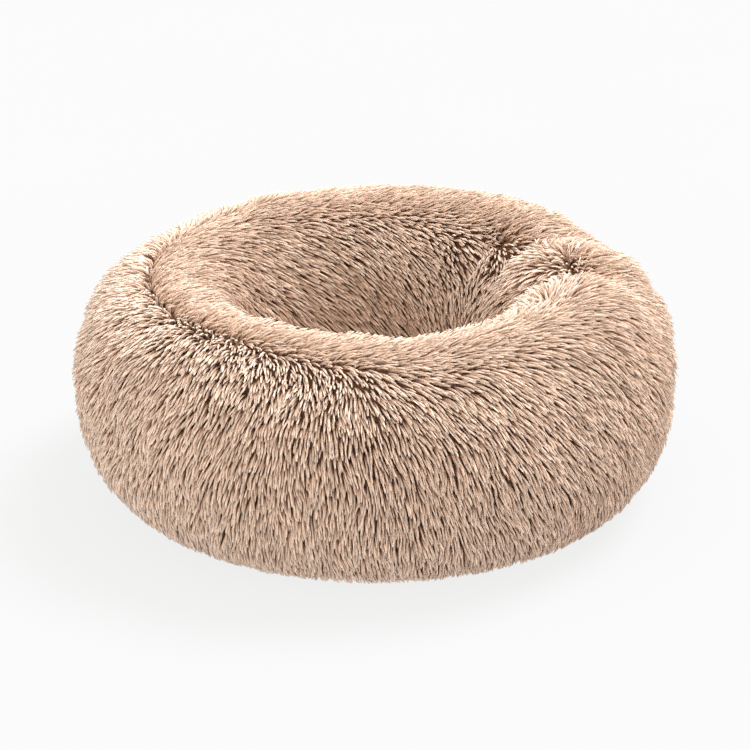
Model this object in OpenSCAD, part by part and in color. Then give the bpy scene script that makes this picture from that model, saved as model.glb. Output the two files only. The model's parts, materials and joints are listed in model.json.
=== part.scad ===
// Round plush pet bed. A stuffed ring stands round a sunken sleeping pad on a non-slip base.
// A zip low on the back of the ring lets the two filled bags out for washing the cover.
// Millimetres. +Z is up, the origin is on the floor under the middle, and the front faces -Y.

/* [Overall] */
// Diameter over the pile
bed_d = 500; // [415:5:600]
// Height over the pile
bed_h = 195; // [165:1:235]

/* [Ring] */
// Diameter of the crest line, where the outer and inner wall panels meet
crest_d = 350; // [330:2:370]
// Height of the ring's widest line
belly_h = 98; // [82:1:118]
// Narrowest width of the nest, between the pile tips
nest_d = 194; // [162:2:232]
// Squareness of the outer wall below its widest line, where 2 is an ellipse
foot_power = 2.4; // [2:0.1:3]

/* [Plush] */
// Thickness of the plush, its backing and pile together
plush_t = 12; // [9:0.5:15]
// Thickness of the same plush where the ring presses it down beside the base
squashed_t = 2; // [1.5:0.5:4]

/* [Sleeping pad] */
// Height of the middle of the sleeping surface, over its pile
pad_h = 78; // [65:1:94]
// Rise of that surface from its edge to its middle
pad_crown = 5; // [2:1:8]
// Thickness of the plush's backing cloth, which runs out into the centre seam
backing_t = 1.5; // [1:0.5:3]
// Width of that backing outside the sleeping surface
seam_flange_w = 13; // [10:1:15]

/* [Base] */
// Diameter of the base cloth
base_d = 372; // [340:2:392]
// Thickness of the base cloth
base_t = 1.1; // [0.8:0.1:2]
// Thickness of the non-slip film under the base cloth
film_t = 0.4; // [0.3:0.1:1]
// Margin of base cloth outside the film
film_margin = 3; // [1:1:8]
// Height of a grip dot
dot_h = 1.5; // [1:0.1:3]
// Diameter of a grip dot
dot_d = 8; // [4:0.5:14]
// Distance between rings of grip dots
dot_pitch = 25; // [18:1:27]
// Number of rings of grip dots round the middle one
dot_rings = 6; // [3:1:6]

/* [Filled bags] */
// Room between the cover and the ring bag, which the slider's lower plate passes through
bag_gap = 3; // [2.6:0.1:5]
// Room between the pad bag and the cloths above and below it
pad_gap = 1.5; // [1.2:0.1:4]
// Thickness of the bags' cloth
liner_t = 0.8; // [0.5:0.1:1.5]
// Room between a bag and its filling
fill_gap = 0.2; // [0.1:0.1:1]
// Squareness of the pad bag's edge, where 2 is an ellipse
pad_power = 3; // [2:0.5:5]

/* [Thread] */
// Diameter of the seam threads
thread_d = 0.8; // [0.4:0.1:1]
// Distance of the base seam's thread inside the edge of the base cloth
base_seam_in = 4; // [2:1:10]
// Clearance between a seam thread and the cloth that it lies along
thread_gap = 0.1; // [0.05:0.05:0.3]

/* [Zip] */
// Slope of the wall where the zip is sewn in, in degrees from level
zip_slope = 45; // [35:1:55]
// Angle that the slider travels round the back of the bed
zip_travel = 140; // [60:5:170]
// Width of one tape
tape_w = 12; // [10:0.5:14]
// Thickness of the tapes
tape_t = 0.8; // [0.5:0.1:1.2]
// Gap between the two tapes, which the slider's divider runs in
tape_gap = 2.4; // [2:0.1:3]
// Length of tape beyond each stop
tape_tail = 10; // [5:1:20]
// Width of the two coils when they are closed
coil_w = 6; // [5:0.2:7]
// Height of the coils above the tapes
coil_h = 2; // [1.5:0.1:2.6]
// Gap between the two coils
coil_gap = 0.3; // [0.2:0.1:0.5]
// Length of a stop along the tapes
stop_l = 3; // [2:0.5:5]
// Room between the slider and a stop at the ends of its travel
stop_gap = 0.5; // [0.3:0.1:1]
// Half width of the slot in the plush that the slider runs in
slot_half_w = 7; // [6:0.5:9]
// Room round the tapes where they are let into the plush
tape_room = 0.2; // [0.1:0.1:0.5]
// Distance of the sewing from the tapes' outer edges
tape_seam_in = 2.5; // [1.5:0.5:4]

/* [Slider] */
// Length of the slider along the zip
slider_l = 11; // [9:0.5:14]
// Thickness of each of its two plates
plate_t = 1.2; // [0.8:0.1:1.5]
// Thickness of the rims at the sides of the upper plate
rim_t = 1; // [0.8:0.1:1.4]
// Clearance between the slider and the tapes and coils
slider_gap = 0.3; // [0.2:0.1:0.5]
// Length of the divider, which parts the coils
divider_l = 2; // [1.5:0.5:3]
// Width of the divider
divider_w = 1.6; // [1:0.1:1.8]
// Length of the bridge that holds the pull tab
bridge_l = 7; // [6:0.5:8]
// Width of the bridge
bridge_w = 2; // [1.5:0.1:2.4]
// Thickness of the bridge
bridge_t = 1; // [0.8:0.1:1.4]
// Height of the window under the bridge
window_h = 2.3; // [2:0.1:3]

/* [Pull tab] */
// Diameter of the pull tab's cross bar
bar_d = 1.4; // [1:0.1:1.6]
// Thickness of the pull tab
tab_t = 1.2; // [0.8:0.1:1.4]
// Width of the pull tab
tab_w = 6.4; // [5.6:0.2:9]
// Length from the cross bar to the tab's end
tab_l = 15; // [12:0.5:17]
// Width of each arm beside the bridge
arm_w = 1.4; // [1:0.1:1.6]
// Distance from the cross bar to where the arms join
arm_l = 4.8; // [4.8:0.1:6]
// Diameter of the hole near the tab's end
tab_hole_d = 2.6; // [1.5:0.1:3]

/* [Care label] */
// Width of the blank care label, along the base seam
label_w = 22; // [15:1:40]
// Length of the label out from the seam
label_l = 26; // [18:1:30]
// Thickness of the label
label_t = 0.5; // [0.3:0.1:0.8]
// Slope at which the label lies against the pile, in degrees from level
label_slope = 14; // [12:1:18]
// Clearance between the label and the pile
label_gap = 0.3; // [0.2:0.1:0.6]
// Direction of the label, in degrees anticlockwise from +X
label_at = 187; // [180:1:250]

/* [Hidden] */

$fn = 96;
steps = 14; // straight stretches in each quarter of the ring's section
wall_power = 2; // the other three quarters of the section are ellipses
cut_over = 20; // how far a cutter runs past what it cuts
plush = [0.80, 0.68, 0.59];
bag_cloth = [0.93, 0.93, 0.91];
fibre = [0.97, 0.97, 0.96];
sole = [0.46, 0.39, 0.33];
grip = [0.30, 0.27, 0.25];
thread = [0.74, 0.62, 0.53];
tape = [0.70, 0.58, 0.49];
coil = [0.62, 0.51, 0.43];
metal = [0.66, 0.64, 0.60];

crest_r = crest_d / 2;
base_r = base_d / 2;
film_z = dot_h;
base_z = film_z + film_t;
base_top = base_z + base_t;
seam_z = pad_h - plush_t;
flange_z = seam_z - backing_t;

// The ring's section, as half sizes out, in, up and down from the point under the crest at belly_h
pile = [bed_d / 2 - crest_r, crest_r - nest_d / 2, bed_h - belly_h, belly_h - base_z];
lining = [pile[0] - plush_t, pile[1] - plush_t, pile[2] - plush_t, pile[3] - squashed_t];
bag = lining - bag_gap * [1, 1, 1, 1];
bag_in = bag - liner_t * [1, 1, 1, 1];
fill = bag_in - fill_gap * [1, 1, 1, 1];

// Where the wall has a given slope below its widest line, as [radius, height]
function slope_ratio(half, slope) = pow(half[0] / half[3] * tan(slope), 1 / (foot_power - 1));
function drop_share(ratio) = pow(1 + pow(ratio, foot_power), -1 / foot_power);
function wall_at_slope(half, slope) =
    let (ratio = slope_ratio(half, slope), drop = drop_share(ratio))
    [crest_r + half[0] * ratio * drop, belly_h - half[3] * drop];

// A stretch of one quarter of the section, from its side at 0 degrees to its top or bottom at 90
function quarter(x, z, power, from, to) =
    [for (i = [0 : steps]) let (t = from + (to - from) * i / steps)
        [crest_r + x * pow(cos(t), 2 / power), belly_h + z * pow(sin(t), 2 / power)]];
function turn_at_x(share, power) = acos(pow(share, power / 2));
function turn_at_z(share, power) = asin(pow(share, power / 2));

// The radius of the inner wall at a height below the widest line
function inner_r(half, z) = crest_r - half[1] * sqrt(1 - pow((belly_h - z) / half[3], 2));

// Outer wall from the crest to the edge of the base cloth, and inner wall from the crest to the pad.
// Where the base cloth ends inside the crest line, the outer wall runs flat in to its edge.
function foot_share(half) = max(0, base_r - crest_r) / half[0];
function outer_wall(half) = concat(
    quarter(half[0], half[2], wall_power, 90, 0),
    quarter(half[0], -half[3], foot_power, 0, turn_at_x(foot_share(half), foot_power)),
    base_r < crest_r ? [[base_r, belly_h - half[3]]] : []);
function inner_wall(half) = concat(
    quarter(-half[1], half[2], wall_power, 90, 0),
    quarter(-half[1], -half[3], wall_power, 0, turn_at_z((belly_h - seam_z) / half[3], wall_power)));
function reversed(points) = [for (i = [len(points) - 1 : -1 : 0]) points[i]];

// The zip's line, and angles along it
zip_line = wall_at_slope(lining, zip_slope);
zip_start = 90 - zip_travel / 2;
zip_end = 90 + zip_travel / 2;
label_line = wall_at_slope(pile, label_slope);
function arc(length) = length / zip_line[0] * 180 / PI;
stop_in = arc(slider_l / 2 + stop_gap);
stop_out = stop_in + arc(stop_l);
tape_out = stop_out + arc(tape_tail);
coil_back = arc(slider_l / 2 - divider_l - stop_gap);

// Heights above the back of the tapes
coil_top = tape_t + coil_h;
plate_z = coil_top + slider_gap;
plate_top = plate_z + plate_t;
bar_z = plate_top + window_h / 2;
slider_w = coil_w + 2 * (slider_gap + rim_t);

thread_out = thread_gap + thread_d / 2;
pad_top_z = flange_z - pad_gap;
pad_r = inner_r(bag, pad_top_z) - bag_gap;
pad_mid = [(pad_top_z + base_top + pad_gap) / 2, (pad_top_z - base_top - pad_gap) / 2];

// A shell of the ring's section between two walls
module wall_shell(outside, inside) {
    rotate_extrude() polygon(concat(outside, reversed(inside)));
}

module ring_section(half) {
    polygon(concat(
        quarter(half[0], half[2], wall_power, 0, 90),
        reversed(quarter(-half[1], half[2], wall_power, 0, 90)),
        quarter(-half[1], -half[3], wall_power, 0, 90),
        reversed(quarter(half[0], -half[3], foot_power, 0, 90))));
}

module ring_body(half) {
    rotate_extrude() ring_section(half);
}

// A round cushion of the pad bag's shape, shrunk by an inset
module pad_body(inset) {
    half_h = pad_mid[1] - inset;
    rotate_extrude() polygon(concat(
        [for (i = [0 : steps]) let (t = 90 - 180 * i / steps)
            [(pad_r - inset) * pow(cos(t), 2 / pad_power),
             pad_mid[0] + half_h * sign(t) * pow(abs(sin(t)), 2 / pad_power)]]));
}

// A strip along the zip. x runs up the wall from the zip's middle, and -y runs out of the wall.
module zip_strip(from, to) {
    rotate([0, 0, from]) rotate_extrude(angle = to - from)
        translate(zip_line) rotate(zip_slope) children();
}

module zip_bar(from, to, x, z, w, h) {
    zip_strip(from, to) translate([x, -z - h]) square([w, h]);
}

// A frame on the wall. x runs up the wall, y clockwise along it and z out of it.
module on_wall(line, slope, at) {
    rotate([0, 0, at]) translate([line[0], 0, line[1]]) rotate([0, -slope, 0]) rotate([180, 0, 0])
        children();
}

module middle_block(w, l, h) {
    translate([-w / 2, -l / 2, 0]) cube([w, l, h]);
}

module seam_ring(r, z) {
    rotate_extrude() translate([r, z]) circle(d = thread_d);
}

module outer_wall_cover() {
    reach = tape_gap / 2 + tape_w + tape_room;
    color(plush) difference() {
        wall_shell(outer_wall(pile), outer_wall(lining));
        zip_bar(zip_start - tape_out - arc(tape_room), zip_end + tape_out + arc(tape_room),
            -reach, -cut_over, 2 * reach, cut_over + tape_t + tape_room);
        zip_bar(zip_start - stop_out - arc(stop_gap), zip_end + stop_out + arc(stop_gap),
            -slot_half_w, -cut_over, 2 * slot_half_w, 2 * cut_over);
    }
}

module inner_wall_cover() {
    color(plush) wall_shell(inner_wall(pile), inner_wall(lining));
}

module centre_panel() {
    edge_r = nest_d / 2;
    edge_z = pad_h - pad_crown;
    color(plush) rotate_extrude() polygon(concat(
        [[0, flange_z], [edge_r + seam_flange_w, flange_z], [edge_r + seam_flange_w, seam_z],
         [edge_r, seam_z]],
        [for (i = [0 : steps]) let (t = 90 * i / steps)
            [edge_r * cos(t), edge_z + pad_crown * sin(t)]]));
}

module base_cloth() {
    color(sole) translate([0, 0, base_z]) cylinder(r = base_r, h = base_t);
}

// The film and its dots are one moulding
module grip_film() {
    color(grip) union() {
        translate([0, 0, film_z]) cylinder(r = base_r - film_margin, h = film_t);
        cylinder(d = dot_d, h = dot_h + film_t / 2);
        for (ring = [1 : dot_rings], i = [0 : 6 * ring - 1])
            rotate([0, 0, i * 60 / ring]) translate([ring * dot_pitch, 0, 0])
                cylinder(d = dot_d, h = dot_h + film_t / 2);
    }
}

module ring_bag() {
    color(bag_cloth) rotate_extrude() difference() {
        ring_section(bag);
        ring_section(bag_in);
    }
}

module ring_filling() {
    color(fibre) ring_body(fill);
}

module pad_bag() {
    color(bag_cloth) difference() {
        pad_body(0);
        pad_body(liner_t);
    }
}

module pad_filling() {
    color(fibre) pad_body(liner_t + fill_gap);
}

module crest_seam_thread() {
    color(thread) seam_ring(crest_r, bed_h - plush_t - thread_out);
}

module centre_seam_thread() {
    color(thread) seam_ring(nest_d / 2 + seam_flange_w / 2, flange_z - thread_out);
}

module base_seam_thread() {
    color(thread) seam_ring(base_r - base_seam_in, base_top + thread_out);
}

module zip_seam_threads() {
    color(thread) for (side = [-1, 1])
        zip_strip(zip_start - tape_out, zip_end + tape_out)
            translate([side * (tape_gap / 2 + tape_w - tape_seam_in), thread_out])
                circle(d = thread_d);
}

module zip_tape_upper() {
    color(tape) zip_bar(zip_start - tape_out, zip_end + tape_out, tape_gap / 2, 0, tape_w, tape_t);
}

module zip_tape_lower() {
    color(tape) zip_bar(zip_start - tape_out, zip_end + tape_out,
        -tape_gap / 2 - tape_w, 0, tape_w, tape_t);
}

module zip_coil_upper() {
    color(coil) zip_bar(zip_start - coil_back, zip_end + stop_in,
        coil_gap / 2, tape_t, (coil_w - coil_gap) / 2, coil_h);
}

module zip_coil_lower() {
    color(coil) zip_bar(zip_start - coil_back, zip_end + stop_in,
        -coil_w / 2, tape_t, (coil_w - coil_gap) / 2, coil_h);
}

// One clip on the edge of each tape, where the closed slider comes to rest
module zip_top_stops() {
    stop_w = coil_w / 2 - tape_gap / 2;
    color(metal) for (x = [-coil_w / 2, tape_gap / 2])
        zip_bar(zip_start - stop_out, zip_start - stop_in, x, tape_t, stop_w, coil_h);
}

// One clip across both tapes, where the open slider comes to rest
module zip_end_stop() {
    color(metal) zip_bar(zip_end + stop_in, zip_end + stop_out, -coil_w / 2, tape_t, coil_w, coil_h);
}

// Two plates joined by the divider, with the bridge for the pull tab on the upper plate
module zip_slider_body() {
    rim_x = slider_w / 2 - rim_t;
    rim_z = tape_t + slider_gap;
    color(metal) on_wall(zip_line, zip_slope, zip_start) union() {
        translate([0, 0, -slider_gap - plate_t]) middle_block(slider_w, slider_l, plate_t);
        translate([0, 0, plate_z]) middle_block(slider_w, slider_l, plate_t);
        for (x = [-slider_w / 2, rim_x])
            translate([x, -slider_l / 2, rim_z]) cube([rim_t, slider_l, plate_z - rim_z]);
        translate([-divider_w / 2, slider_l / 2 - divider_l, -slider_gap])
            cube([divider_w, divider_l, plate_z + slider_gap]);
        difference() {
            translate([0, 0, plate_top]) middle_block(bridge_w, bridge_l, window_h + bridge_t);
            translate([0, 0, plate_top])
                middle_block(2 * bridge_w, bridge_l - 2 * bridge_t, window_h);
        }
    }
}

// Hangs straight out of the wall from a cross bar under the slider's bridge
module zip_pull_tab() {
    color(metal) on_wall(zip_line, zip_slope, zip_start) translate([0, 0, bar_z]) union() {
        rotate([0, 90, 0]) cylinder(d = bar_d, h = tab_w, center = true);
        for (x = [-tab_w / 2, tab_w / 2 - arm_w])
            translate([x, -tab_t / 2, 0]) cube([arm_w, tab_t, arm_l + arm_w]);
        difference() {
            translate([0, 0, arm_l]) middle_block(tab_w, tab_t, tab_l - arm_l);
            translate([0, 0, tab_l - tab_hole_d]) rotate([90, 0, 0])
                cylinder(d = tab_hole_d, h = 2 * tab_t, center = true);
        }
    }
}

// A blank tab whose inner end meets the edge of the base cloth
// The label slopes up under the pile, and lies on the floor where its line would go below it
module care_label() {
    in_x = (base_r - label_line[0]) / cos(label_slope) + label_gap;
    floor_x = ((label_gap + label_t) * cos(label_slope) - label_line[1]) / sin(label_slope);
    floor_l = max(0, floor_x - in_x) * cos(label_slope);
    color(bag_cloth) {
        if (floor_l < label_l) on_wall(label_line, label_slope, label_at)
            translate([max(in_x, floor_x), -label_w / 2, label_gap])
                cube([label_l - floor_l, label_w, label_t]);
        if (floor_l > 0) rotate([0, 0, label_at]) translate([base_r + label_gap, -label_w / 2, 0])
            cube([min(floor_l, label_l), label_w, label_t]);
    }
}

outer_wall_cover();
inner_wall_cover();
centre_panel();
base_cloth();
grip_film();
ring_bag();
ring_filling();
pad_bag();
pad_filling();
crest_seam_thread();
centre_seam_thread();
base_seam_thread();
zip_seam_threads();
zip_tape_upper();
zip_tape_lower();
zip_coil_upper();
zip_coil_lower();
zip_top_stops();
zip_end_stop();
zip_slider_body();
zip_pull_tab();
care_label();
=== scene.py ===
import json
import math

import bpy
import numpy as np
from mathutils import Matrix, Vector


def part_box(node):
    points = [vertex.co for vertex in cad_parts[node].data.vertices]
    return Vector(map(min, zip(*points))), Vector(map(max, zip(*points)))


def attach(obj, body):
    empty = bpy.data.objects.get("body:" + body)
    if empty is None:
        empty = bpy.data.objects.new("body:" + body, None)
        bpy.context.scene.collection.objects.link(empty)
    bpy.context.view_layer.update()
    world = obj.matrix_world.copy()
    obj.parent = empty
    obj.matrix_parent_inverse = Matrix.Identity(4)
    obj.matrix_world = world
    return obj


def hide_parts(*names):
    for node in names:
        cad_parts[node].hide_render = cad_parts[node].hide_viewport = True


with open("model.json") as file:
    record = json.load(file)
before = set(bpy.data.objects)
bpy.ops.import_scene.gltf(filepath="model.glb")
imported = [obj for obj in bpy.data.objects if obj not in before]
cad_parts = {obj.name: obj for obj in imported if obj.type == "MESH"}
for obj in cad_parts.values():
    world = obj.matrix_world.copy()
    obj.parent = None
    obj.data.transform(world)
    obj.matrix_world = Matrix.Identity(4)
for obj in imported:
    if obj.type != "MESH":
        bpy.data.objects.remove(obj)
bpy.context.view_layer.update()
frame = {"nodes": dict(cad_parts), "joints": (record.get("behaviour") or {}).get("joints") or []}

# ---------------------------------------------------------------- sizes, in metres

outer_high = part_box("outer_wall_cover")[1]
inner_low, inner_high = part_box("inner_wall_cover")
panel_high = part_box("centre_panel")[1]
base_low, base_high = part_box("base_cloth")
pad_low, pad_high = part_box("pad_bag")
label_low, label_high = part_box("care_label")

BED_R = outer_high.x
BED_H = outer_high.z
CREST_R = inner_high.x
SEAM_Z = inner_low.z
PAD_TOP = panel_high.z
FLANGE_R = panel_high.x
SEAM_ALLOWANCE = 0.013
NEST_R = FLANGE_R - SEAM_ALLOWANCE
PLUSH_T = PAD_TOP - SEAM_Z
BASE_R = base_high.x
BASE_Z = base_low.z
BASE_TOP = base_high.z

BELLY_Z = 0.098
FOOT_POWER = 2.4
SQUASHED_T = 0.002
SQUASHED_AT = 0.0018  # lowest middle of a tuft that the bed lies on
BACKING_T = 0.0015
BAG_GAP = 0.003
BAG_CREASE = 0.0009  # how deep the bag and the filling are creased
LINER_T = 0.0008
FILL_GAP = 0.0002
LABEL_W = 0.022
LABEL_L = 0.026
LABEL_T = 0.0005
LABEL_GAP = 0.0003
LABEL_ROOM = 0.0012  # what tufts keep clear of round the label
LABEL_BEND = 0.0006
BASE_ROOM_R, BASE_ROOM_Z = 0.0008, 0.001  # what tufts keep clear of round and over the base
BASE_EDGE = 0.0004
PAD_CROWN = 0.003
PANEL_GAP = 0.0002

# The ring's section, as half sizes out, in, up and down from the point under the crest
PILE = np.array([BED_R - CREST_R, CREST_R - NEST_R, BED_H - BELLY_Z, BELLY_Z - BASE_Z])
LINING = PILE - np.array([PLUSH_T, PLUSH_T, PLUSH_T, SQUASHED_T])

# The zip's line on the lining, and its arc round the back
ZIP_SLOPE = math.radians(45)
joints = {joint["name"]: joint for joint in frame["joints"]}
pull_at = joints["pull_swing"]["pos_m"]
ZIP_START = math.atan2(pull_at[1], pull_at[0])
ZIP_END = ZIP_START + math.radians(joints["slider_travel"]["range_deg"][1])
zip_ratio = (LINING[0] / LINING[3] * math.tan(ZIP_SLOPE)) ** (1 / (FOOT_POWER - 1))
zip_drop = (1 + zip_ratio**FOOT_POWER) ** (-1 / FOOT_POWER)
ZIP_R = CREST_R + LINING[0] * zip_ratio * zip_drop
ZIP_Z = BELLY_Z - LINING[3] * zip_drop
TAIL_TURN = 0.019 / ZIP_R  # angle of the tape beyond the slider's middle at either end of its travel
POCKET_HALF_W = 0.0134  # the opening in the plush, and what tufts keep clear of round slider and tab
POCKET_DEPTH = 0.006
POCKET_RISE = 0.0014
SLIDER_HALF_W = 0.0068
SLIDER_FROM, SLIDER_TO = -0.003, 0.0095
TAB_HALF_W = 0.0046
TAB_TO = 0.0225

GRID_ROUND = 192
GRID_SECTION = 96
CREASE_FADE = 0.02
CREASE_Z, CREASE_RISE = 0.10, 0.05  # a crease runs out where it comes down the wall
SEWN_Z, SEWN_FADE = 0.055, 0.05  # the ring keeps its plain shape below this height
SWELL_FRAMES = 20
HELD_BELOW = 0.02

TUFT_SPACING = 0.0034
TUFT_LENGTH = 0.0178
STRANDS = 3
STRAND_R = 0.00080
CLUMP_R = 0.00070
RING_SHARES = np.array([0.0, 0.36, 0.68, 0.90])
SIDES = 3
BEND = math.radians(26)
LOWEST = 0.0004  # how near the floor a strand may come
WAVE = 0.0004  # how far a strand swings sideways at its tip
CLOSING = 0.85  # how far a tuft's strands come together towards its tip
TAPER_FROM, TAPER_POWER = 3.2, 0.7
LENGTH_RANGE, HEIGHT_RANGE = (0.8, 1.15), (0.72, 1.12)
LAY_NOISE = ((0.15, 0.09, 71), (0.13, 0.025, 72))  # strength, wavelength and seed
LAY_SPREAD = 0.10
ROW_STEP = 0.866  # the rows of a hexagonal pattern lie this share of the spacing apart
TRIM_STEPS = 12
STUB_SHARE = 0.3
CREST_SPACING, SPACING_GAIN = 0.80, 0.20  # the tufts' spacing at the crest, and its gain away from it
SIDE_PULL = 0.7  # how strongly the pile near the crest and inside the nest leans to +X
COMBED_AT = 0.45  # tufts with a weaker lay than this stand more or less on end
UPRIGHT_HEIGHT = 0.70  # share of its length that a tuft on end reaches
COVERING_CUT = 0.4
LOW_CUT, LOW_Z = 0.30, 0.090  # how much flatter the pile lies at the foot, and where that starts
ROOT_AT = 0.7  # share of the backing's thickness at which a tuft starts
PARTING_W = 0.024
JITTER = 0.38
FACING_UP_PAINTED_LIGHT = 0.48  # painted light: share of a tuft's dark end lifted lighter where the pile faces up, for the light from above
UPRIGHT_PAINTED_LIGHT = 0.50  # the same painted light where tufts stand on end, lighter than the shade between them gives


# ---------------------------------------------------------------- small tools


def smooth_step(value):
    value = np.clip(value, 0, 1)
    return value * value * (3 - 2 * value)


def unit(vectors):
    return vectors / np.maximum(np.linalg.norm(vectors, axis=-1, keepdims=True), 1e-12)


def dot(a, b):
    return np.sum(a * b, axis=-1, keepdims=True)


def soft_noise(points, wavelength, seed, waves=14):
    """Smooth noise from about -1 to 1, as a sum of waves in random directions."""
    rng = np.random.default_rng(seed)
    total = np.zeros(points.shape[:-1])
    for _ in range(waves):
        direction = unit(rng.normal(size=3))
        stretch = rng.uniform(0.7, 1.4)
        phase = points @ direction * 2 * math.pi / (wavelength * stretch)
        total += np.sin(phase + rng.uniform(0, 2 * math.pi))
    return total / math.sqrt(waves)


def mesh_piece(name, points, faces, material, body, replaces=(), smooth=True):
    """A new piece from points and faces, riding on a body."""
    mesh = bpy.data.meshes.new(name)
    mesh.from_pydata(np.asarray(points, float).tolist(), [], [list(map(int, f)) for f in faces])
    mesh.update()
    return finish_piece(name, mesh, material, body, replaces, smooth)


def finish_piece(name, mesh, material, body, replaces=(), smooth=True):
    mesh.materials.append(material)
    mesh.polygons.foreach_set("use_smooth", np.full(len(mesh.polygons), smooth))
    piece = bpy.data.objects.new(name, mesh)
    bpy.context.scene.collection.objects.link(piece)
    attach(piece, body)
    if replaces:
        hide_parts(*replaces)
    return piece


def grid_faces(rows, columns, close_rows=False, close_columns=False, keep=None):
    """Quads of a grid of points, row after row."""
    faces = []
    for i in range(rows if close_rows else rows - 1):
        for j in range(columns if close_columns else columns - 1):
            if keep is None or keep(i, j):
                a, b = i * columns + j, i * columns + (j + 1) % columns
                c = (i + 1) % rows * columns + (j + 1) % columns
                d = (i + 1) % rows * columns + j
                faces.append((a, b, c, d))
    return faces


def thicken(piece, thickness, offset=-1.0):
    """Gives a cloth its thickness, as real geometry."""
    solid = piece.modifiers.new("thickness", "SOLIDIFY")
    solid.thickness = thickness
    solid.offset = offset
    return piece


# ---------------------------------------------------------------- materials


def srgb(red, green, blue):
    """A colour given as 0 to 255 on a screen, as linear shares."""
    shares = np.array([red, green, blue]) / 255
    return (*np.where(shares <= 0.04045, shares / 12.92, ((shares + 0.055) / 1.055) ** 2.4), 1.0)


class Nodes:
    """Adds and links the nodes of one material."""

    def __init__(self, name, roughness, metallic=0.0, sheen=0.0):
        self.material = bpy.data.materials.new(name)
        self.material.use_nodes = True
        self.tree = self.material.node_tree
        self.shader = self.tree.nodes["Principled BSDF"]
        self.shader.inputs["Roughness"].default_value = roughness
        self.shader.inputs["Metallic"].default_value = metallic
        self.shader.inputs["Sheen Weight"].default_value = sheen
        self.shader.inputs["Sheen Roughness"].default_value = 0.5

    def add(self, kind, **settings):
        node = self.tree.nodes.new(kind)
        for key, value in settings.items():
            setattr(node, key, value)
        return node

    def link(self, output, target):
        self.tree.links.new(output, target)

    def noise(self, scale, detail=3.0, stretch=(1, 1, 1)):
        place = self.add("ShaderNodeTexCoord")
        mapping = self.add("ShaderNodeMapping")
        mapping.inputs["Scale"].default_value = stretch
        noise = self.add("ShaderNodeTexNoise")
        noise.inputs["Scale"].default_value = scale
        noise.inputs["Detail"].default_value = detail
        self.link(place.outputs["Object"], mapping.inputs["Vector"])
        self.link(mapping.outputs["Vector"], noise.inputs["Vector"])
        return noise.outputs["Fac"]

    def wave(self, pitch, direction):
        place = self.add("ShaderNodeTexCoord")
        wave = self.add("ShaderNodeTexWave", bands_direction=direction)
        wave.inputs["Scale"].default_value = 0.314 / pitch  # one band every pitch
        wave.inputs["Distortion"].default_value = 0.6
        self.link(place.outputs["Object"], wave.inputs["Vector"])
        return wave.outputs["Fac"]

    def maths(self, operation, a, b):
        node = self.add("ShaderNodeMath", operation=operation)
        for socket, value in zip(node.inputs, (a, b)):
            if isinstance(value, (int, float)):
                socket.default_value = value
            else:
                self.link(value, socket)
        return node.outputs[0]

    def ramp(self, factor, stops):
        ramp = self.add("ShaderNodeValToRGB")
        elements = ramp.color_ramp.elements
        elements[0].position, elements[0].color = stops[0]
        elements[1].position, elements[1].color = stops[-1]
        for position, colour in stops[1:-1]:
            elements.new(position).color = colour
        self.link(factor, ramp.inputs["Fac"])
        return ramp.outputs["Color"]

    def multiply(self, a, b, share=1.0):
        mix = self.add("ShaderNodeMix", data_type="RGBA", blend_type="MULTIPLY")
        mix.inputs["Factor"].default_value = share
        self.link(a, mix.inputs["A"])
        self.link(b, mix.inputs["B"])
        return mix.outputs["Result"]

    def colour(self, output):
        self.link(output, self.shader.inputs["Base Color"])

    def bump(self, height, distance, strength=0.6):
        bump = self.add("ShaderNodeBump")
        bump.inputs["Distance"].default_value = distance
        bump.inputs["Strength"].default_value = strength
        self.link(height, bump.inputs["Height"])
        self.link(bump.outputs["Normal"], self.shader.inputs["Normal"])


def pile_material():
    """Long soft pile: darker towards the roots as painted shade of the deep pile, light at the tips, with
    tufts of slightly different tone.
    """
    n = Nodes("plush_pile", roughness=0.9, sheen=0.15)
    uv = n.add("ShaderNodeUVMap", uv_map="OFBake")
    parts = n.add("ShaderNodeSeparateXYZ")
    n.link(uv.outputs["UV"], parts.inputs["Vector"])
    # painted shade: the dark root end of this ramp stands in for the shade deep in the pile
    along = n.ramp(parts.outputs["Y"], [
        (0.0, srgb(92, 56, 34)),
        (0.26, srgb(184, 140, 111)),
        (0.55, srgb(237, 204, 180)),
        (1.0, srgb(252, 230, 212))])
    tone = n.ramp(parts.outputs["X"], [(0.0, srgb(206, 200, 195)), (1.0, (1.0, 1.0, 1.0, 1.0))])
    n.colour(n.multiply(along, tone))
    n.bump(n.noise(2600, 2.0), 0.0001, 0.4)
    return n.material


def painted_shade_backing_material():
    """Knitted backing of the plush, with a fuzzy bump; its dark brown is painted shade of the deep pile
    where it shows between the tufts.
    """
    n = Nodes("plush_backing_painted_shade", roughness=0.95, sheen=0.1)
    fuzz = n.noise(1400, 4.0)
    # painted shade: these dark browns stand in for the shade deep in the pile
    n.colour(n.ramp(fuzz, [(0.3, srgb(104, 68, 44)), (0.7, srgb(150, 112, 86))]))
    n.bump(fuzz, 0.0006, 0.8)
    return n.material


def weave_material(name, dark, light, pitch, roughness, sheen=0.0):
    """Plain woven cloth: two crossed sets of threads."""
    n = Nodes(name, roughness, sheen=sheen)
    weave = n.maths("MULTIPLY", n.wave(pitch, "X"), n.wave(pitch, "Y"))
    mixed = n.maths("ADD", n.maths("MULTIPLY", weave, 0.6), n.maths("MULTIPLY", n.noise(60), 0.4))
    n.colour(n.ramp(mixed, [(0.1, dark), (0.8, light)]))
    n.bump(weave, pitch * 0.3)
    return n.material


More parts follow.
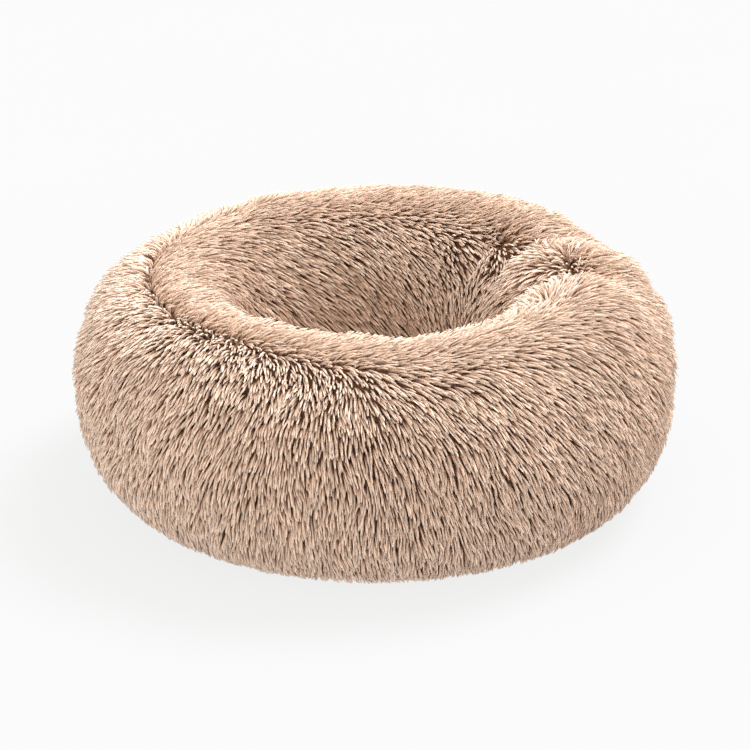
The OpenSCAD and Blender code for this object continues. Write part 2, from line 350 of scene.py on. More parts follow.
def fibre_material(name, dark, light, scale, distance, roughness=0.95, stretch=(1, 1, 1)):
    """Matted or twisted fibres."""
    n = Nodes(name, roughness, sheen=0.1)
    fibres = n.noise(scale, 5.0, stretch)
    n.colour(n.ramp(fibres, [(0.3, dark), (0.7, light)]))
    n.bump(fibres, distance, 0.8)
    return n.material


def plastic_material(name, dark, light, roughness, scale=900):
    n = Nodes(name, roughness)
    grain = n.noise(scale, 3.0)
    n.colour(n.ramp(grain, [(0.3, dark), (0.7, light)]))
    n.bump(grain, 0.00008, 0.4)
    return n.material


def metal_material():
    """Plated zinc with fine brushing and slightly duller patches."""
    n = Nodes("zip_metal", 0.32, metallic=1.0)
    brushed = n.noise(1500, 3.0, (1, 1, 12))
    n.colour(n.ramp(brushed, [(0.3, srgb(150, 146, 138)), (0.7, srgb(196, 191, 181))]))
    n.bump(brushed, 0.00004, 0.4)
    return n.material


PILE_LOOK = pile_material()
PAINTED_SHADE_BACKING_LOOK = painted_shade_backing_material()
SOLE_LOOK = weave_material("base_cloth", srgb(96, 80, 68), srgb(134, 114, 98), 0.0011, 0.85)
GRIP_LOOK = plastic_material("grip_film", srgb(72, 57, 46), srgb(98, 79, 65), 0.55)
BAG_LOOK = fibre_material("bag_cloth", srgb(214, 214, 209), srgb(243, 243, 239), 700, 0.0003)
FILLING_LOOK = fibre_material("filling", srgb(226, 226, 222), srgb(250, 250, 248), 160, 0.002)
THREAD_LOOK = fibre_material("thread", srgb(160, 134, 115), srgb(204, 178, 158), 3000, 0.0002)
TAPE_LOOK = weave_material("zip_tape", srgb(146, 122, 104), srgb(186, 162, 142), 0.0006, 0.8, 0.1)
COIL_LOOK = plastic_material("zip_coil", srgb(140, 116, 98), srgb(170, 145, 125), 0.4, 1800)
METAL_LOOK = metal_material()
LABEL_LOOK = weave_material("label_cloth", srgb(222, 221, 216), srgb(246, 245, 240), 0.0005, 0.7)


# ---------------------------------------------------------------- the ring's surface


def quarter(out, up, power, start, stop, count=160):
    turn = np.radians(np.linspace(start, stop, count))
    share_out = np.clip(np.cos(turn), 0, 1) ** (2 / power)
    share_up = np.clip(np.sin(turn), 0, 1) ** (2 / power)
    return np.stack([CREST_R + out * share_out, BELLY_Z + up * share_up], 1)


# The lining's outline from the crest out, down, in under the ring and up the inner wall
QUARTERS = [
    quarter(LINING[0], LINING[2], 2, 90, 0),
    quarter(LINING[0], -LINING[3], FOOT_POWER, 0, 90),
    quarter(-LINING[1], -LINING[3], 2, 90, 0),
    quarter(-LINING[1], LINING[2], 2, 0, 90)]
OUTLINE = np.concatenate([QUARTERS[0]] + [points[1:] for points in QUARTERS[1:]])
LENGTHS = np.concatenate([[0], np.cumsum(np.linalg.norm(np.diff(OUTLINE, axis=0), axis=1))])
AROUND = LENGTHS[-1]
count_0, count_1 = len(QUARTERS[0]), len(QUARTERS[1]) - 1
U_BASE = LENGTHS[count_0 + np.argmax(OUTLINE[count_0:count_0 + count_1, 0] < BASE_R)]
first_inner = count_0 + count_1
U_SEAM = LENGTHS[first_inner + np.argmax(OUTLINE[first_inner:, 1] > SEAM_Z)]
U_ZIP = LENGTHS[np.argmin(np.hypot(OUTLINE[:, 0] - ZIP_R, OUTLINE[:, 1] - ZIP_Z))]


def from_zip(r, z):
    """How far a point lies up the wall from the zip's line, and how far out of the wall."""
    r, z = r - ZIP_R, z - ZIP_Z
    return (r * math.cos(ZIP_SLOPE) + z * math.sin(ZIP_SLOPE),
            r * math.sin(ZIP_SLOPE) - z * math.cos(ZIP_SLOPE))


# The same outline near the zip
near_zip = np.flatnonzero(abs(LENGTHS[:first_inner] - U_ZIP) < 0.04)[::-1]
WALL_UP, WALL_OUT = from_zip(OUTLINE[near_zip, 0], OUTLINE[near_zip, 1])


def outline_at(u):
    return np.interp(u, LENGTHS, OUTLINE[:, 0]), np.interp(u, LENGTHS, OUTLINE[:, 1])


def plain_grid():
    """The lining's points, round the bed and then round its section."""
    theta = np.arange(GRID_ROUND) / GRID_ROUND * 2 * math.pi
    r, z = outline_at(np.arange(GRID_SECTION) / GRID_SECTION * AROUND)
    return np.stack([
        np.cos(theta)[:, None] * r, np.sin(theta)[:, None] * r,
        np.ones(GRID_ROUND)[:, None] * z], -1)


def tangents(grid):
    along = unit(np.roll(grid, -1, 1) - np.roll(grid, 1, 1))
    round_bed = unit(np.roll(grid, -1, 0) - np.roll(grid, 1, 0))
    return along, round_bed, unit(np.cross(round_bed, -along))


def freedom(grid):
    """0 where the ring's cloth is sewn to the base or lies against the pad, 1 higher up."""
    return smooth_step((grid[..., 2] - SEWN_Z) / SEWN_FADE)


def crease(points, at, width, low_r, high_r):
    """1 along a radial crease over the crest, falling off to its sides."""
    r = np.hypot(points[..., 0], points[..., 1])
    angle = np.arctan2(points[..., 1], points[..., 0]) - math.radians(at)
    angle = (angle + math.pi) % (2 * math.pi) - math.pi
    across = np.exp(-((angle * r / width) ** 2))
    ends = smooth_step((r - low_r) / CREASE_FADE) * smooth_step((high_r - r) / CREASE_FADE)
    return across * ends * smooth_step((points[..., 2] - CREASE_Z) / CREASE_RISE)


# Folds, lobes and slack places of the ring: the direction in degrees from +X, the width across it,
# the radii where it starts and ends, and how far the cloth rises there
FOLDS = (
    (-7, 0.020, 0.108, 0.205, -0.009),
    (-22, 0.028, 0.105, 0.225, 0.006),
    (10, 0.026, 0.105, 0.225, 0.006),
    (30, 0.018, 0.108, 0.200, -0.007),
    (47, 0.016, 0.105, 0.160, -0.008),
    (178, 0.050, 0.145, 0.290, -0.005),
    (152, 0.070, 0.145, 0.290, -0.006),
    (108, 0.080, 0.145, 0.290, -0.005),
    (60, 0.060, 0.145, 0.290, -0.002),
    (21, 0.042, 0.145, 0.290, -0.007),
    (1, 0.050, 0.215, 0.290, 0.004))


def lumpy(grid):
    """Uneven filling and the creases where the ring folds, fading out towards the floor and the pad."""
    normal = tangents(grid)[2]
    rise = 0.0028 * soft_noise(grid, 0.16, 11) + 0.0013 * soft_noise(grid, 0.075, 12)
    for at, width, low_r, high_r, height in FOLDS:
        rise = rise + height * crease(grid, at, width, low_r, high_r)
    return grid + normal * (freedom(grid) * rise)[..., None]


def inflate(grid, pressure, cap):
    """Fills out the cloth of a closed grid with Blender's cloth solver, held where it meets base and pad.

    The cloth hardly stretches, so it starts at its full size, and the pressure tautens it."""
    rows, columns = grid.shape[:2]
    free = freedom(grid)
    mesh = bpy.data.meshes.new("swelling")
    mesh.from_pydata(grid.reshape(-1, 3).tolist(), [], grid_faces(rows, columns, True, True))
    swelling = bpy.data.objects.new("swelling", mesh)
    bpy.context.scene.collection.objects.link(swelling)
    held = swelling.vertex_groups.new(name="held")
    held.add(np.flatnonzero(free.ravel() < HELD_BELOW).tolist(), 1.0, "REPLACE")
    cloth = swelling.modifiers.new("cloth", "CLOTH")
    cloth.settings.vertex_group_mass = "held"
    cloth.settings.use_pressure = True
    cloth.settings.uniform_pressure_force = pressure
    cloth.settings.effector_weights.gravity = 0
    cloth.settings.tension_stiffness = 12
    cloth.settings.compression_stiffness = 12
    cloth.settings.bending_stiffness = 0.4
    cloth.collision_settings.use_collision = False
    cloth.point_cache.frame_end = SWELL_FRAMES
    for number in range(1, SWELL_FRAMES + 1):
        bpy.context.scene.frame_set(number)
    shaped = swelling.evaluated_get(bpy.context.evaluated_depsgraph_get())
    found = np.zeros(rows * columns * 3)
    shaped.data.vertices.foreach_get("co", found)
    bpy.data.objects.remove(swelling)
    bpy.context.scene.frame_set(1)
    moved = found.reshape(grid.shape) - grid
    size = np.linalg.norm(moved, axis=-1, keepdims=True)
    return grid + moved * np.minimum(1, cap / np.maximum(size, 1e-9)) * free[..., None]


GRID = lumpy(plain_grid())
GRID = inflate(GRID, pressure=4.0, cap=0.004)
ALONG, ROUND, NORMAL = tangents(GRID)


def on_ring(theta, u, field):
    """A field of the ring's grid at angles and places along the section."""
    a = np.asarray(theta) / (2 * math.pi) * GRID_ROUND
    b = np.asarray(u) / AROUND * GRID_SECTION
    i, j = np.floor(a).astype(int), np.floor(b).astype(int)
    fa, fb = (a - i)[..., None], (b - j)[..., None]
    i0, i1, j0, j1 = i % GRID_ROUND, (i + 1) % GRID_ROUND, j % GRID_SECTION, (j + 1) % GRID_SECTION
    near = field[i0, j0] * (1 - fb) + field[i0, j1] * fb
    far = field[i1, j0] * (1 - fb) + field[i1, j1] * fb
    return near * (1 - fa) + far * fa


# ---------------------------------------------------------------- pile


def tuft_curve(tufts, shares):
    """Points along every tuft, which bends over from its root to its tip."""
    turn = tufts["from"][:, None] + (tufts["to"] - tufts["from"])[:, None] * shares
    swing = np.maximum(tufts["to"] - tufts["from"], 1e-3)[:, None]
    rise = (np.sin(turn) - np.sin(tufts["from"])[:, None]) / swing * tufts["length"][:, None]
    run = (np.cos(tufts["from"])[:, None] - np.cos(turn)) / swing * tufts["length"][:, None]
    return (tufts["root"][:, None] + tufts["normal"][:, None] * rise[..., None]
            + tufts["lay"][:, None] * run[..., None])


def kept(tufts, mask):
    return {key: value[mask] for key, value in tufts.items()}


def in_zip_channel(points):
    """Whether points lie where the slider and its pull tab pass, or in the cover's opening."""
    r = np.hypot(points[..., 0], points[..., 1])
    angle = np.arctan2(points[..., 1], points[..., 0])
    near = (angle > ZIP_START - TAIL_TURN) & (angle < ZIP_END + TAIL_TURN)
    up, out = from_zip(r, points[..., 2])
    slider = (abs(up) < SLIDER_HALF_W) & (out > SLIDER_FROM) & (out < SLIDER_TO)
    tab = (abs(up) < TAB_HALF_W) & (out < TAB_TO) & (out > 0)
    above_wall = out - np.interp(up, WALL_UP, WALL_OUT)
    pocket = (abs(up) < POCKET_HALF_W) & (above_wall > -POCKET_DEPTH) & (above_wall < POCKET_RISE)
    return near & (slider | tab | pocket)


def under_zip(points, u):
    """1 for tufts just under the zip, which lean up over its lower tape."""
    angle = np.arctan2(points[:, 1], points[:, 0])
    fade = 0.04
    along = smooth_step((angle - ZIP_START + TAIL_TURN) / fade + 0.5)
    along = along * smooth_step((ZIP_END + TAIL_TURN - angle) / fade + 0.5)
    reach, edge = 0.008, 0.003
    return along * (u > U_ZIP) * smooth_step((U_ZIP + POCKET_HALF_W + reach - u) / edge)


def near_label(points):
    inside = [(points[..., k] > label_low[k] - LABEL_ROOM) & (points[..., k] < label_high[k] + LABEL_ROOM)
              for k in range(3)]
    return inside[0] & inside[1] & inside[2]


def trimmed(tufts):
    """Shortens tufts before they reach the zip, the label or the base, and drops what would be a stub."""
    shares = np.linspace(0, 1, TRIM_STEPS + 1)
    points = tuft_curve(tufts, shares)
    under_base = np.hypot(points[..., 0], points[..., 1]) < BASE_R + BASE_ROOM_R
    under_base = under_base & (points[..., 2] < BASE_TOP + BASE_ROOM_Z)
    blocked = in_zip_channel(points) | near_label(points) | under_base
    first = np.where(blocked.any(1), np.argmax(blocked, 1), len(shares))
    share = np.minimum(1, (first - 1) / TRIM_STEPS)
    cut = np.maximum(share, 0.05)
    tufts["to"] = tufts["from"] + (tufts["to"] - tufts["from"]) * cut
    tufts["length"] = tufts["length"] * cut
    return kept(tufts, share > STUB_SHARE)


def make_tufts(root, normal, lay, height, length, rng):
    """Tufts that start at root and stand height above it, leaning along lay."""
    count = len(root)
    length = length * rng.uniform(*LENGTH_RANGE, count)
    height = np.minimum(height * rng.uniform(*HEIGHT_RANGE, count), 0.95 * length)
    # a tuft bends by BEND on either side of the lean that gives it its height
    middle = np.arccos(np.clip(height / length / 0.97, 0.06, 0.985))
    # each tuft carries its painted light, here that of pile facing up; ring tufts set their own
    return {
        "root": root, "normal": normal, "lay": unit(lay), "length": length,
        "from": np.maximum(middle - BEND, 0.02), "to": np.minimum(middle + BEND, 1.72),
        "tone": rng.uniform(0, 1, count), "painted_light": FACING_UP_PAINTED_LIGHT * np.ones(count)}


def hex_rows(start, stop, radius_at, rng, spacing_at=lambda u: TUFT_SPACING):
    """Places spread evenly over a turned surface: angles and distances along its outline."""
    thetas, us = [], []
    u = start
    while u < stop:
        spacing = spacing_at(u)
        count = max(3, int(2 * math.pi * radius_at(u) / spacing))
        places = np.arange(count) + rng.uniform() + rng.uniform(-JITTER, JITTER, count)
        thetas.append(places / count * 2 * math.pi)
        us.append(np.clip(u + rng.uniform(-JITTER, JITTER, count) * spacing, start, stop))
        u += spacing * ROW_STEP
    return np.concatenate(thetas) % (2 * math.pi), np.concatenate(us)


def ring_tufts(start, stop, outward, seed):
    """Tufts of one wall. They lie away from the crest, and near it and inside they also lean to +X."""
    rng = np.random.default_rng(seed)

    def spacing_at(place):
        from_top = place - start if outward else stop - place
        return TUFT_SPACING * (CREST_SPACING + SPACING_GAIN * smooth_step(from_top / PARTING_W))

    theta, u = hex_rows(start, stop, lambda at: outline_at(at)[0], rng, spacing_at)
    point, normal = on_ring(theta, u, GRID), unit(on_ring(theta, u, NORMAL))
    along, round_bed = on_ring(theta, u, ALONG), on_ring(theta, u, ROUND)
    side = np.array([1.0, 0.0, 0.0]) - normal * normal[:, :1]
    from_crest = (u - start if outward else stop - u)[:, None]
    right = smooth_step((point[:, :1] + 0.13) / 0.26)  # 0 at the left of the bed, 1 at its right
    parted = smooth_step(from_crest / (PARTING_W * (1 + 1.5 * right)))  # the parting is wider at the right
    if outward:
        pull = SIDE_PULL * np.exp(-from_crest / (0.035 + 0.05 * right)) + 0.25 * right
    else:
        at_side = smooth_step((point[:, :1] - 0.06) / 0.08) * smooth_step((0.09 - point[:, 1:2]) / 0.06)
        at_back = smooth_step((point[:, 1:2] - 0.05) / 0.06)
        pull = SIDE_PULL * (1 - 0.85 * at_side) + 0.4 * at_back
    lay = along * (1 if outward else -1) * parted + side * pull
    for strength, wavelength, noise_seed in LAY_NOISE:
        lay = lay + round_bed * strength * soft_noise(point, wavelength, noise_seed)[:, None]
    lay = lay + round_bed * rng.normal(0, LAY_SPREAD, len(u))[:, None]
    lay = lay - normal * dot(lay, normal)
    combed = smooth_step(np.linalg.norm(lay, axis=1) / COMBED_AT)
    length = TUFT_LENGTH * np.ones(len(u))
    if outward:
        covering = under_zip(point, u)
        lay = lay * (1 - covering[:, None]) - along * covering[:, None]
        length = length * (1 - COVERING_CUT * covering)
    lay = unit(lay - normal * dot(lay, normal))
    down = np.maximum(0, -normal[:, 2]) ** 2
    height = PLUSH_T * (1 - down) + SQUASHED_T * down - BACKING_T * (1 - down)
    height = height * (1 + 0.13 * soft_noise(point, 0.03, 73))
    height = height * (1 - LOW_CUT * smooth_step((LOW_Z - point[:, 2]) / 0.05))
    height = height * combed + UPRIGHT_HEIGHT * TUFT_LENGTH * (1 - combed)
    root = point + normal * BACKING_T * ROOT_AT
    tufts = make_tufts(root, normal, lay, height, length, rng)
    # painted light: tufts facing up and tufts on end start further up the dark-to-light ramp
    facing_up = np.clip(normal[:, 2], 0, 1) ** 2
    tufts["painted_light"] = np.maximum(FACING_UP_PAINTED_LIGHT * facing_up, UPRIGHT_PAINTED_LIGHT * (1 - combed))
    return tufts


def pad_back_z(r):
    """Height of the sleeping panel's backing."""
    return SEAM_Z + PAD_CROWN * np.sqrt(np.clip(1 - (r / NEST_R) ** 2, 0, 1))


def pad_tufts(seed):
    rng = np.random.default_rng(seed)
    theta, r = hex_rows(0.002, NEST_R, lambda at: at, rng)
    root = np.stack([r * np.cos(theta), r * np.sin(theta), pad_back_z(r)], 1)
    normal = np.tile([0.0, 0.0, 1.0], (len(r), 1))
    # the pad's pile leans to +X and a little to the front, unevenly
    turn = 0.5 * soft_noise(root, 0.06, seed + 1) + rng.normal(0, 0.2, len(r)) - 0.5
    lay = np.stack([np.cos(turn), np.sin(turn), 0 * turn], 1)
    height = (PAD_TOP - pad_back_z(r)) * (1 + 0.12 * soft_noise(root, 0.03, seed + 2))
    return make_tufts(root, normal, lay, height, TUFT_LENGTH, rng)


def pile_piece(name, tufts, seed):
    """All strands of some tufts as one mesh of closed tapering tubes."""
    rng = np.random.default_rng(seed)
    count, rings = len(tufts["root"]), len(RING_SHARES)
    shares = np.append(RING_SHARES, 1.0)
    centre = tuft_curve(tufts, shares)
    centre[..., 2] = np.maximum(centre[..., 2], SQUASHED_AT)
    across = unit(np.cross(tufts["normal"], tufts["lay"]))
    ahead = unit(np.gradient(centre, axis=1))
    beside = np.broadcast_to(across[:, None], ahead.shape)
    above = unit(np.cross(ahead, beside))
    spread = (1 - CLOSING * shares)[None, :, None]
    taper = STRAND_R * (1 - shares**TAPER_FROM) ** TAPER_POWER
    angles = np.arange(SIDES) / SIDES * 2 * math.pi
    strands = []
    for k in range(STRANDS):
        turn = (k / STRANDS + rng.uniform(0, 1, count)) * 2 * math.pi
        reach = CLUMP_R * rng.uniform(0.6, 1.15, count)
        push = beside * np.cos(turn)[:, None, None] + above * np.sin(turn)[:, None, None]
        push = push * reach[:, None, None] * spread
        bends, phase = rng.uniform(3, 7, count)[:, None], rng.uniform(0, 6, count)[:, None]
        wave = np.sin(shares[None] * bends + phase)
        middle = centre + push + beside * (WAVE * shares * wave)[..., None]
        circle = beside[:, :, None] * np.cos(angles)[:, None] + above[:, :, None] * np.sin(angles)[:, None]
        body = middle[:, :rings, None] + circle[:, :rings] * taper[None, :rings, None, None]
        strands.append(np.concatenate([body.reshape(count, -1, 3), middle[:, rings:]], 1))
    points = np.stack(strands, 1).reshape(-1, 3)
    points[:, 2] = np.maximum(points[:, 2], LOWEST)

    corners, totals, along_uv, side_uv = strand_pattern(rings)
    strand_count = count * STRANDS
    per_strand = rings * SIDES + 1
    loops = (corners[None] + (np.arange(strand_count) * per_strand)[:, None]).ravel()
    sizes = np.tile(totals, strand_count)
    mesh = bpy.data.meshes.new(name)
    mesh.vertices.add(len(points))
    mesh.vertices.foreach_set("co", points.astype(np.float32).ravel())
    mesh.loops.add(len(loops))
    mesh.loops.foreach_set("vertex_index", loops.astype(np.int32))
    mesh.polygons.add(len(sizes))
    starts = np.concatenate([[0], np.cumsum(sizes)[:-1]])
    mesh.polygons.foreach_set("loop_start", starts.astype(np.int32))
    mesh.update(calc_edges=True)
    layer = mesh.uv_layers.new(name="OFBake")
    tone = np.repeat(tufts["tone"], STRANDS)[:, None] * 0.95
    # painted light lifts a tuft's place on the ramp, so it shows less of the painted shade at its roots
    painted_light = np.repeat(tufts["painted_light"], STRANDS)[:, None]
    uv = np.stack([tone + 0.01 + 0.004 * side_uv[None], along_uv[None] * (1 - painted_light) + painted_light], -1)
    layer.data.foreach_set("uv", uv.astype(np.float32).ravel())
    return finish_piece(name, mesh, PILE_LOOK, "bed")


def strand_pattern(rings):
    """The faces of one strand, as corner numbers, corners per face and each corner's place."""
    corners, totals, along_uv, side_uv = [], [], [], []
    shares = [*RING_SHARES, 1.0]

    def face(points):
        totals.append(len(points))
        for index, side in points:
            corners.append(index)
            along_uv.append(shares[min(index // SIDES, rings)])
            side_uv.append(side)

    for ring in range(rings - 1):
        for i in range(SIDES):
            a, b = ring * SIDES + i, ring * SIDES + (i + 1) % SIDES
            face([(a, i), (b, i + 1), (b + SIDES, i + 1), (a + SIDES, i)])
    last = (rings - 1) * SIDES
    for i in range(SIDES):
        face([(last + i, i), (last + (i + 1) % SIDES, i + 1), (rings * SIDES, i + 0.5)])
    face([(i, i) for i in reversed(range(SIDES))])
    return np.array(corners), np.array(totals), np.array(along_uv), np.array(side_uv)


def sectors(name, tufts, count, seed):
    angle = np.arctan2(tufts["root"][:, 1], tufts["root"][:, 0]) % (2 * math.pi)
    number = np.floor(angle / (2 * math.pi) * count).astype(int) % count
    for k in range(count):
        pile_piece(f"{name}_{k + 1:02d}", kept(tufts, number == k), seed + k)


# ---------------------------------------------------------------- covers, bags and fillings


def ring_cloth(name, start, stop, lift, thickness, material, node, opening=False):
    """A cloth on the ring between two places of its section, with the zip's opening if asked."""
    rows = np.arange(GRID_ROUND) / GRID_ROUND * 2 * math.pi
    columns = np.linspace(start, stop, 60)
    zip_from, zip_to = ZIP_START - TAIL_TURN, ZIP_END + TAIL_TURN
    if opening:
        rows = np.sort(np.append(rows, [zip_from, zip_to]))
        columns = np.sort(np.append(columns, [U_ZIP - POCKET_HALF_W, U_ZIP + POCKET_HALF_W]))

    def keep(i, j):
        if not opening:
            return True
        middle = (columns[j] + columns[j + 1]) / 2
        angle = (rows[i] + (rows[i + 1] if i + 1 < len(rows) else 2 * math.pi)) / 2
        return not (abs(middle - U_ZIP) < POCKET_HALF_W and zip_from < angle < zip_to)

    theta, u = np.meshgrid(rows, columns, indexing="ij")
    points = on_ring(theta, u, GRID) + unit(on_ring(theta, u, NORMAL)) * lift
    faces = grid_faces(len(rows), len(columns), close_rows=True, keep=keep)
    piece = mesh_piece(name, points.reshape(-1, 3), faces, material, "bed", (node,))
    return thicken(piece, thickness)


def ring_solid(name, inset, material, node):
    points = GRID - NORMAL * inset
    points = points - NORMAL * (BAG_CREASE * (1 + soft_noise(points, 0.03, 31)) / 2)[..., None]
    faces = grid_faces(GRID_ROUND, GRID_SECTION, True, True)
    return mesh_piece(name, points.reshape(-1, 3), faces, material, "bed", (node,))


def turned(name, outline, material, node, segments=160):
    """A piece turned about the bed's axis from an outline that starts and ends on the axis."""
    theta = np.arange(segments) / segments * 2 * math.pi
    ring = outline[1:-1]
    points = np.stack([np.cos(theta)[:, None] * ring[:, 0], np.sin(theta)[:, None] * ring[:, 0],
                       np.ones(segments)[:, None] * ring[:, 1]], -1)
    count = len(ring)
    faces = grid_faces(segments, count, close_rows=True)
    first, last = segments * count, segments * count + 1
    for i in range(segments):
        after = (i + 1) % segments
        faces.append((first, i * count, after * count))
        faces.append((last, after * count + count - 1, i * count + count - 1))
    all_points = np.concatenate([points.reshape(-1, 3), [[0, 0, outline[0, 1]], [0, 0, outline[-1, 1]]]])
    return mesh_piece(name, all_points, faces, material, "bed", (node,))


def pad_outline(inset):
    power = 3
    turn = np.radians(np.linspace(90, -90, 61))
    middle, half = (pad_high.z + pad_low.z) / 2, (pad_high.z - pad_low.z) / 2 - inset
    r = (pad_high.x - inset) * np.clip(np.cos(turn), 0, 1) ** (2 / power)
    z = middle + half * np.sign(np.sin(turn)) * abs(np.sin(turn)) ** (2 / power)
    return np.stack([r, z], 1)


def centre_cloth():
    """The sleeping panel's backing, crowned over the pad, with its seam allowance."""
    r = np.linspace(0, NEST_R, 30)
    top = np.stack([r, pad_back_z(r) - PANEL_GAP], 1)
    rim = np.array([[FLANGE_R, SEAM_Z - PANEL_GAP], [FLANGE_R, SEAM_Z - BACKING_T]])
    under = np.stack([r[::-1], pad_back_z(r[::-1]) - BACKING_T], 1)
    return turned("centre_panel_backing", np.concatenate([top, rim, under]), PAINTED_SHADE_BACKING_LOOK,
                  "centre_panel")


def sole():
    """The base cloth, cut round and stretched flat."""
    outline = np.array([[0, BASE_TOP], [BASE_R * 0.5, BASE_TOP], [BASE_R - BASE_EDGE, BASE_TOP],
                        [BASE_R, BASE_TOP - BASE_EDGE], [BASE_R, BASE_Z + BASE_EDGE / 2],
                        [BASE_R * 0.5, BASE_Z], [0, BASE_Z]])
    return turned("base_cloth_sheet", outline, SOLE_LOOK, "base_cloth")


def label_cloth():
    """A blank woven label, sewn in at the edge of the base and bending a little to its free end."""
    middle = (label_low + label_high) / 2
    azimuth = math.atan2(middle.y, middle.x)
    share, across = np.meshgrid(np.linspace(0, 1, 28), np.linspace(-0.5, 0.5, 24), indexing="ij")
    rise = label_high.z - label_low.z - LABEL_T
    reach = math.sqrt(LABEL_L**2 - rise**2)
    r = BASE_R + LABEL_GAP + share * reach
    bend = LABEL_BEND * np.sin(share * math.pi) * np.cos(across * 2 * math.pi)
    z = label_low.z + LABEL_T + share * rise - bend * share
    side = across * LABEL_W
    points = np.stack([r * math.cos(azimuth) - side * math.sin(azimuth),
                       r * math.sin(azimuth) + side * math.cos(azimuth), z], -1)
    piece = mesh_piece("care_label_cloth", points.reshape(-1, 3), grid_faces(28, 24), LABEL_LOOK, "bed",
                       ("care_label",))
    return thicken(piece, LABEL_T, offset=1.0)


# ---------------------------------------------------------------- zip


def zip_place(theta, up, out):
    """Points at angles round the bed, up the wall from the zip's line and out of the wall."""
    r = ZIP_R + up * math.cos(ZIP_SLOPE) + out * math.sin(ZIP_SLOPE)
    z = ZIP_Z + up * math.sin(ZIP_SLOPE) - out * math.cos(ZIP_SLOPE)
    return np.stack([r * np.cos(theta), r * np.sin(theta), z + 0 * theta], -1)


def coil(name, side, node):
    """One spiral of a coil zip, as a tube wound along its tape."""
    pitch, wire, sides, per_turn = 0.0014, 0.00034, 5, 10
    before, beyond = 0.003, 0.006
    from_line, above_tape = 0.001575, 0.0018
    start, stop = ZIP_START - before / ZIP_R, ZIP_END + beyond / ZIP_R
    steps = int((stop - start) * ZIP_R / pitch * per_turn)
    theta = np.linspace(start + wire / ZIP_R, stop - wire / ZIP_R, steps)
    turn = np.arange(steps) / per_turn * 2 * math.pi
    half_w, half_h = 0.001425 - wire, 0.001 - wire
    path = zip_place(theta, side * (from_line + half_w * np.cos(turn)), above_tape + half_h * np.sin(turn))
    ahead = unit(np.gradient(path, axis=0))
    round_bed = np.stack([-np.sin(theta), np.cos(theta), 0 * theta], -1)
    first = unit(np.cross(ahead, round_bed + 0.01))
    second = np.cross(ahead, first)
    angles = np.arange(sides) / sides * 2 * math.pi
    points = path[:, None] + wire * (first[:, None] * np.cos(angles)[:, None]
                                     + second[:, None] * np.sin(angles)[:, None])
    faces = grid_faces(steps, sides, close_columns=True)
    faces += [tuple(reversed(range(sides))), tuple(range((steps - 1) * sides, steps * sides))]
    return mesh_piece(name, points.reshape(-1, 3), faces, COIL_LOOK, "bed", (node,))


def dress(node, look):
    """Gives a CAD node that keeps its shape a better material."""
    data = frame["nodes"][node].data
    data.materials.clear()
    data.materials.append(look)


# ---------------------------------------------------------------- build

outer = ring_cloth("outer_wall_backing", 0.0, U_BASE, BACKING_T, BACKING_T, PAINTED_SHADE_BACKING_LOOK,
                   "outer_wall_cover", opening=True)
inner = ring_cloth("inner_wall_backing", U_SEAM, AROUND, BACKING_T, BACKING_T, PAINTED_SHADE_BACKING_LOOK,
                   "inner_wall_cover")
panel = centre_cloth()
sectors("outer_pile", trimmed(ring_tufts(0.0, U_BASE, True, 101)), 12, 200)
sectors("inner_pile", trimmed(ring_tufts(U_SEAM + 0.002, AROUND, False, 301)), 8, 400)
sectors("centre_pile", pad_tufts(501), 2, 600)

bag = ring_solid("ring_bag_cloth", BAG_GAP, BAG_LOOK, "ring_bag")
ring_fill = ring_solid("ring_fibre_filling", BAG_GAP + LINER_T + FILL_GAP + BAG_CREASE, FILLING_LOOK,
                       "ring_filling")
pad_cloth = turned("pad_bag_cloth", pad_outline(0.0), BAG_LOOK, "pad_bag")
pad_fill = turned("pad_fibre_filling", pad_outline(LINER_T + FILL_GAP), FILLING_LOOK,
                  "pad_filling")

base = sole()

label_cloth()

coil("zip_coil_upper_spiral", 1, "zip_coil_upper")
coil("zip_coil_lower_spiral", -1, "zip_coil_lower")
for name in ("zip_tape_upper", "zip_tape_lower"):
    dress(name, TAPE_LOOK)
for name in ("zip_top_stops", "zip_end_stop", "zip_slider_body", "zip_pull_tab"):
    dress(name, METAL_LOOK)
for name in ("crest_seam_thread", "centre_seam_thread", "base_seam_thread", "zip_seam_threads"):
    dress(name, THREAD_LOOK)
dress("grip_film", GRIP_LOOK)

# ---------------------------------------------------------------- floor, light and camera


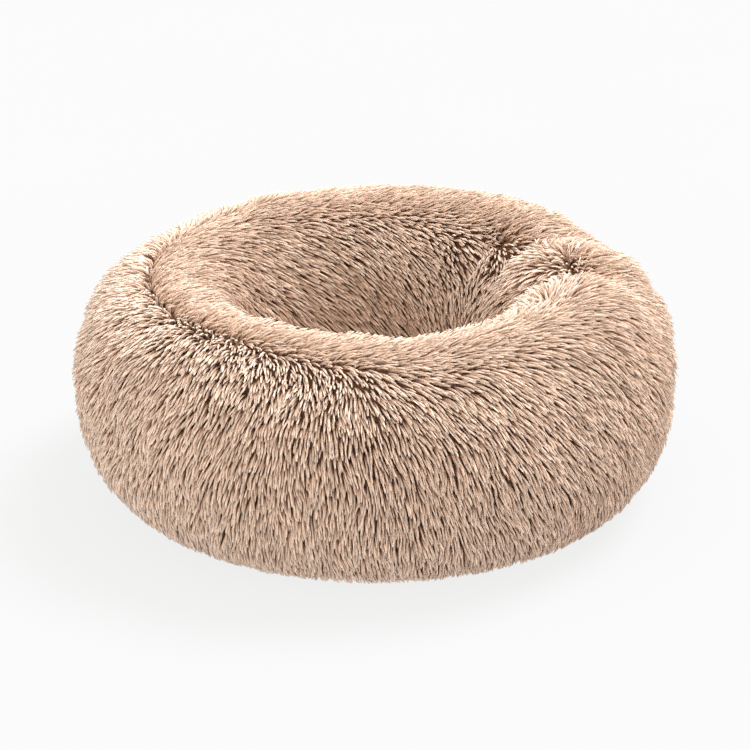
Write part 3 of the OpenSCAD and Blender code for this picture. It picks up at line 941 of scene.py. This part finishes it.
FLOOR_DARK, FLOOR_LIGHT = 0.052, 0.057
FLOOR_GLOW = 0.825  # the rest of the white: a studio floor that loses little of it in the bed's shadow
WORLD_COLOUR, WORLD_STRENGTH = (1.0, 0.965, 0.91, 1.0), 1.55
SUN_COLOUR, SUN_STRENGTH, SUN_SPREAD = (0.92, 0.99, 1.05), 4.5, math.radians(28)
SUN_TURN = (math.radians(-20), math.radians(28), 0)
AIM = (-0.0005, 0.0, 0.0913)
DISTANCE, ELEVATION = 2.6, math.radians(23.08)
SENSOR_MM, LENS_MM = 36, 149.9


def floor():
    size = 20.0
    mesh = bpy.data.meshes.new("floor")
    mesh.from_pydata([(x * size, y * size, 0.0) for x, y in ((-1, -1), (1, -1), (1, 1), (-1, 1))], [],
                     [(0, 1, 2, 3)])
    n = Nodes("floor", 0.9)
    n.colour(n.ramp(n.noise(3), [(0.0, (*[FLOOR_DARK] * 3, 1)), (1.0, (*[FLOOR_LIGHT] * 3, 1))]))
    n.shader.inputs["Specular IOR Level"].default_value = 0.0
    n.shader.inputs["Emission Color"].default_value = (1.0, 1.0, 1.0, 1.0)
    n.shader.inputs["Emission Strength"].default_value = FLOOR_GLOW
    mesh.materials.append(n.material)
    piece = bpy.data.objects.new("floor", mesh)
    bpy.context.scene.collection.objects.link(piece)


def light():
    world = bpy.data.worlds.new("studio")
    bpy.context.scene.world = world
    world.use_nodes = True
    background = world.node_tree.nodes["Background"]
    background.inputs["Color"].default_value = WORLD_COLOUR
    background.inputs["Strength"].default_value = WORLD_STRENGTH
    sun = bpy.data.lights.new("key", "SUN")
    sun.energy = SUN_STRENGTH
    sun.color = SUN_COLOUR
    sun.angle = SUN_SPREAD
    key = bpy.data.objects.new("key", sun)
    key.rotation_euler = SUN_TURN
    bpy.context.scene.collection.objects.link(key)


def camera():
    data = bpy.data.cameras.new("camera")
    data.sensor_width = SENSOR_MM
    data.lens = LENS_MM
    view = bpy.data.objects.new("camera", data)
    back, up = DISTANCE * math.cos(ELEVATION), DISTANCE * math.sin(ELEVATION)
    view.location = (AIM[0], AIM[1] - back, AIM[2] + up)
    view.rotation_euler = (math.pi / 2 - ELEVATION, 0, 0)
    bpy.context.scene.collection.objects.link(view)
    bpy.context.scene.camera = view


floor()
light()
camera()
bpy.context.scene.view_settings.view_transform = "Standard"
